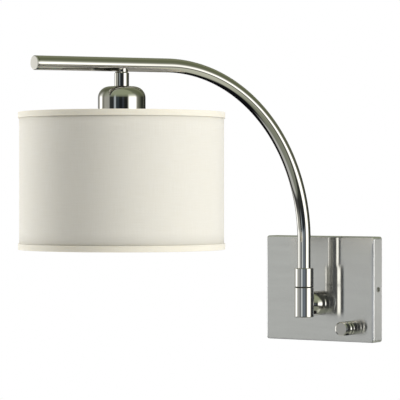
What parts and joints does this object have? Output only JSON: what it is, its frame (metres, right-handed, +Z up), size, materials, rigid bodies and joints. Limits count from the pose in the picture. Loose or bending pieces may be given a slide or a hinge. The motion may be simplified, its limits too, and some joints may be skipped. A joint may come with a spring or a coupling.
{
  "type": "wall-mounted swing-arm lamp",
  "caption": "Wall lamp with a square satin back plate, domed knuckle, upright swivel, arched tube arm that swings, polished cup, cream drum shade and a rotary dimmer knob.",
  "frame": {"origin": "centre of the back plate's rear face, on the wall", "axes": "+X to the right of someone facing the wall, +Y into the wall, +Z up; the lamp stands out along -Y"},
  "size_m": [0.2774, 0.4297, 0.3333],
  "materials": {
    "polished_nickel": "polished nickel plate on brass",
    "brushed_nickel": "satin nickel, brushed level",
    "zinc_steel": "zinc plated",
    "brass": "bare brass",
    "black_phenolic": "moulded black",
    "nylon": "moulded nylon",
    "porcelain": "glazed white",
    "frosted_glass": "inside frosted, opal white",
    "bulb_metal": "bare rolled aluminium",
    "white_enamel": "white enamel",
    "green_screw": "green dyed plating",
    "orange_plastic": "moulded orange",
    "black_insulation": "smooth black insulation",
    "white_insulation": "smooth white insulation",
    "green_insulation": "smooth green insulation",
    "shade_liner": "white styrene lining",
    "shade_fabric": "cream plain weave",
    "shade_trim": "cream folded tape"
  },
  "bodies": {
    "wall_plate": {"backplate": "brushed_nickel", "mounting_strap": "zinc_steel", "side_screw_left": "polished_nickel", "side_screw_right": "polished_nickel", "ground_screw": "green_screw", "knuckle_base": "polished_nickel", "knuckle_dome": "polished_nickel", "knuckle_nipple": "brass", "knuckle_lock_washer": "zinc_steel", "knuckle_lock_nut": "zinc_steel", "swivel_body": "polished_nickel", "swivel_bushing": "nylon", "swivel_bottom_cap": "polished_nickel", "dimmer_body": "black_phenolic", "dimmer_bushing": "zinc_steel", "dimmer_bezel": "polished_nickel", "wire_nut_neutral": "orange_plastic", "wire_nut_live": "orange_plastic", "lead_neutral": "white_insulation", "lead_ground": "green_insulation", "lead_dimmed": "black_insulation", "lead_live": "black_insulation"},
    "swing_arm": {"swivel_collar": "polished_nickel", "swivel_washer": "nylon", "swivel_pivot": "zinc_steel", "pivot_nut": "zinc_steel", "collar_screw": "zinc_steel", "arm_tube": "polished_nickel", "arm_end_cap": "polished_nickel", "arm_wire": "black_insulation", "stem": "polished_nickel", "stem_nipple": "brass", "socket_cup": "polished_nickel", "cup_washer": "zinc_steel", "cup_nut": "zinc_steel", "socket_body": "porcelain", "socket_screw_shell": "brass", "socket_contact": "brass", "bulb_base": "bulb_metal", "bulb_insulator": "black_phenolic", "bulb_glass": "frosted_glass", "fitter_hub": "white_enamel", "fitter_spoke_1": "white_enamel", "fitter_spoke_2": "white_enamel", "fitter_spoke_3": "white_enamel", "shade_top_wire": "white_enamel", "shade_clamp_ring": "black_phenolic", "shade_bottom_wire": "white_enamel", "shade_liner": "shade_liner", "shade_fabric": "shade_fabric", "shade_trim_top": "shade_trim", "shade_trim_bottom": "shade_trim"},
    "knob": {"dimmer_knob": "polished_nickel", "dimmer_shaft": "zinc_steel"}
  },
  "joints": [
    {"name": "arm_swing", "type": "hinge", "parent": "wall_plate", "child": "swing_arm", "pos_m": [0, -0.056, 0], "axis": [0, 0, 1], "range_deg": [-56.9, 93.1]},
    {"name": "knob_turn", "type": "hinge", "parent": "wall_plate", "child": "knob", "pos_m": [0.0448, -0.03, -0.0464], "axis": [0, 1, 0], "range_deg": [0, 300]}
  ]
}
